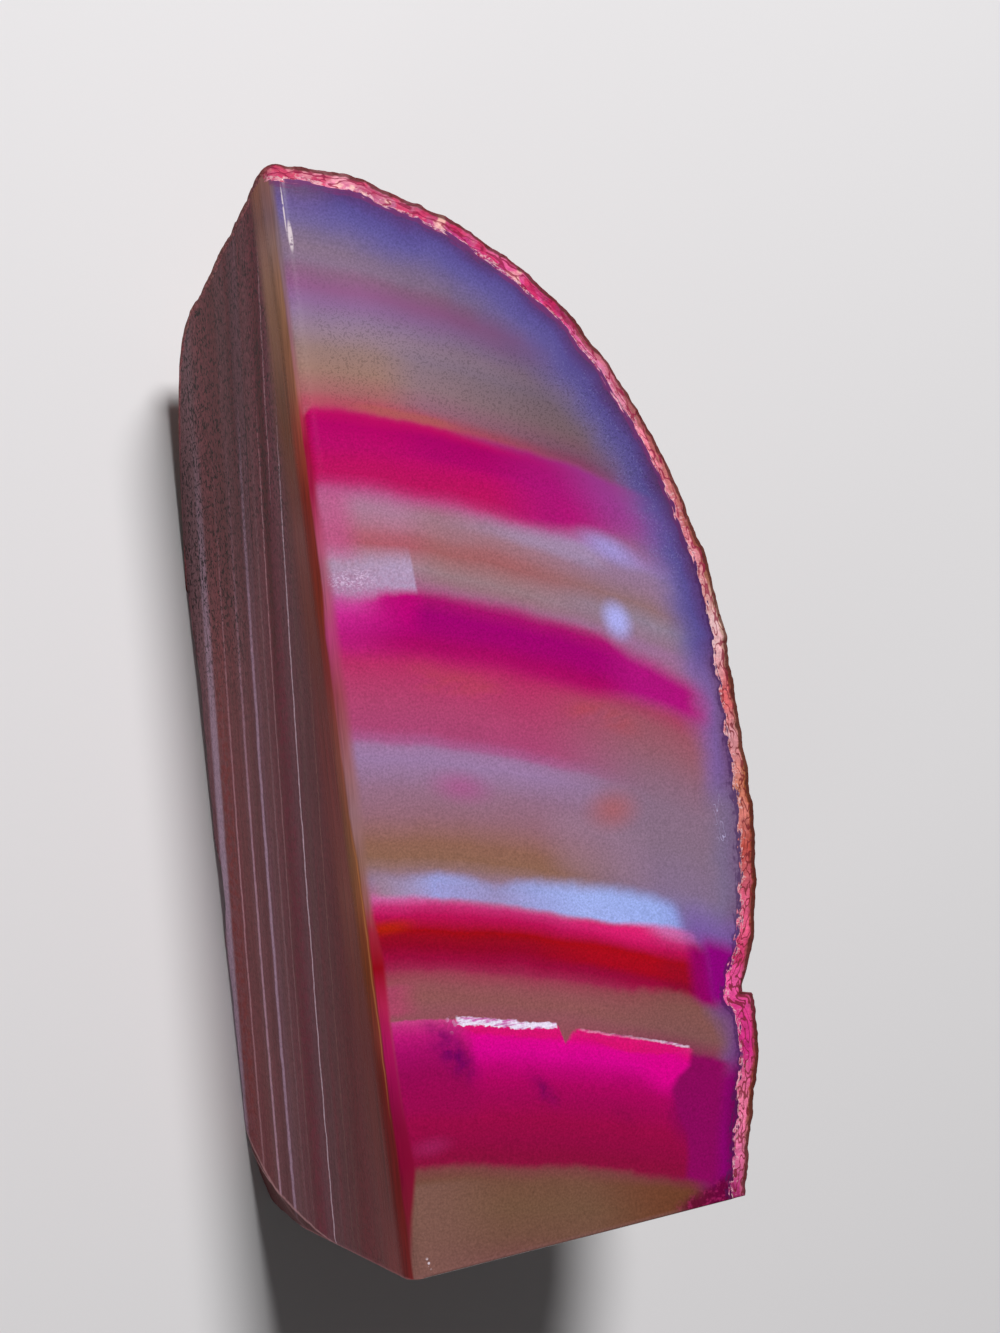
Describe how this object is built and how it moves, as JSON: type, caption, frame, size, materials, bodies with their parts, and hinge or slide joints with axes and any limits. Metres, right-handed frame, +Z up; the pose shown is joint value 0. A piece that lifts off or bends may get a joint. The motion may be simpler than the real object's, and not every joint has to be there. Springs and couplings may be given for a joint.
{
  "type": "agate slice",
  "caption": "Thick polished slice of dyed pink banded agate, lying on its sawn back, with three flat sawn sides, a curved natural rind and a pointed tip.",
  "frame": {"origin": "middle of the bounding box, on the plane of the sawn back that the slice lies on", "axes": "+X from the sawn side to the rind, +Y from the base cut to the pointed tip, +Z up from the back to the polished front face"},
  "size_m": [0.0638, 0.1506, 0.06],
  "materials": {
    "agate": "polished"
  },
  "bodies": {
    "root": {"agate_slice": "agate"}
  },
  "joints": []
}
